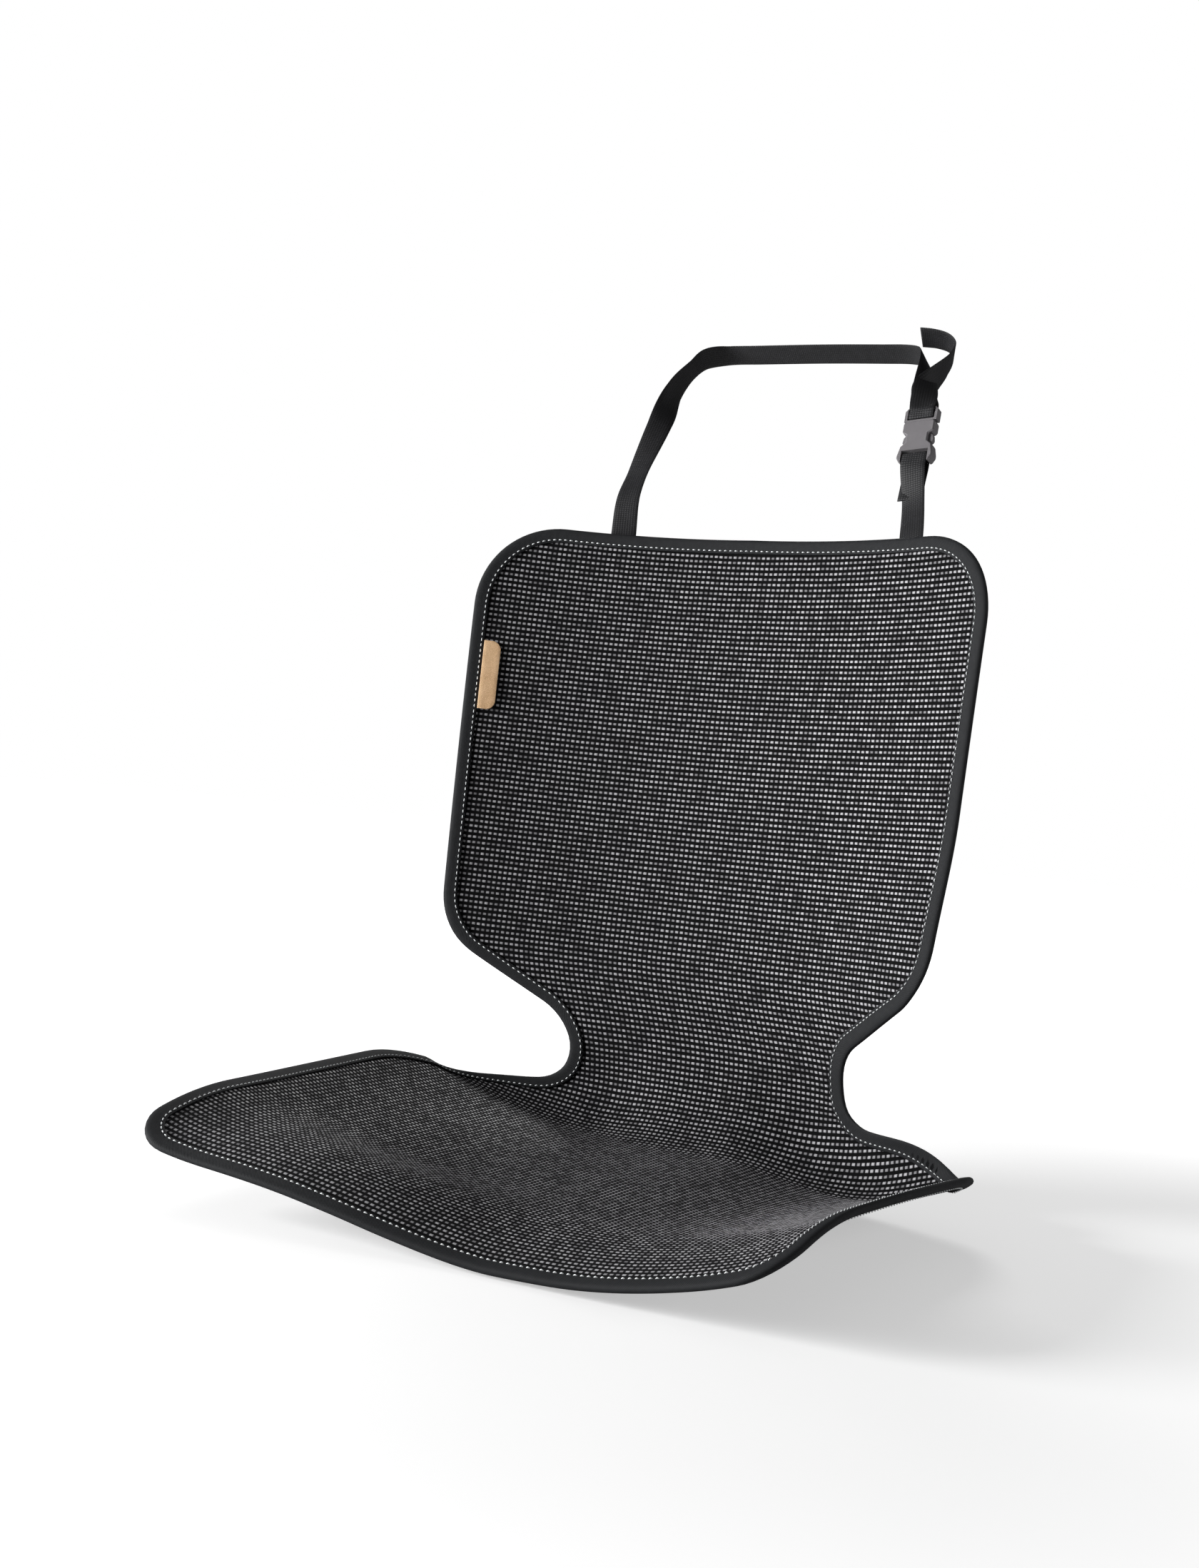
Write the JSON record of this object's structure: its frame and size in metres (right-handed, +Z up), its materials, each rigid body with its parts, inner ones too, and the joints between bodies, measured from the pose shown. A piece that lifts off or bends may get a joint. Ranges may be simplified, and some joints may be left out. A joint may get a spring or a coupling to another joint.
{
  "type": "car seat protector mat",
  "caption": "Ribbed woven car seat protector mat with bound edges, a leather tag and a webbing strap with a side-release buckle.",
  "frame": {"origin": "underside of the seat panel, at the middle of its flat", "axes": "+Z up out of the seat panel, +X to the right of a viewer who faces the backrest panel, +Y backwards towards the backrest panel"},
  "size_m": [0.4606, 0.5464, 0.6549],
  "materials": {
    "mesh_weave": "coarse ribbed weave of coated yarn, black",
    "binding_tape": "fine twill tape, black, stitched",
    "tag_leather": "tan grained leather, bare",
    "strap_webbing": "ribbed polypropylene webbing, dark grey",
    "buckle_plastic": "satin moulded acetal, mid grey"
  },
  "bodies": {
    "root": {"mat_panel": "mesh_weave", "edge_binding": "binding_tape", "side_tag": "tag_leather", "main_strap": "strap_webbing", "buckle_strap": "strap_webbing", "buckle_socket": "buckle_plastic", "buckle_latch": "buckle_plastic"}
  },
  "joints": []
}
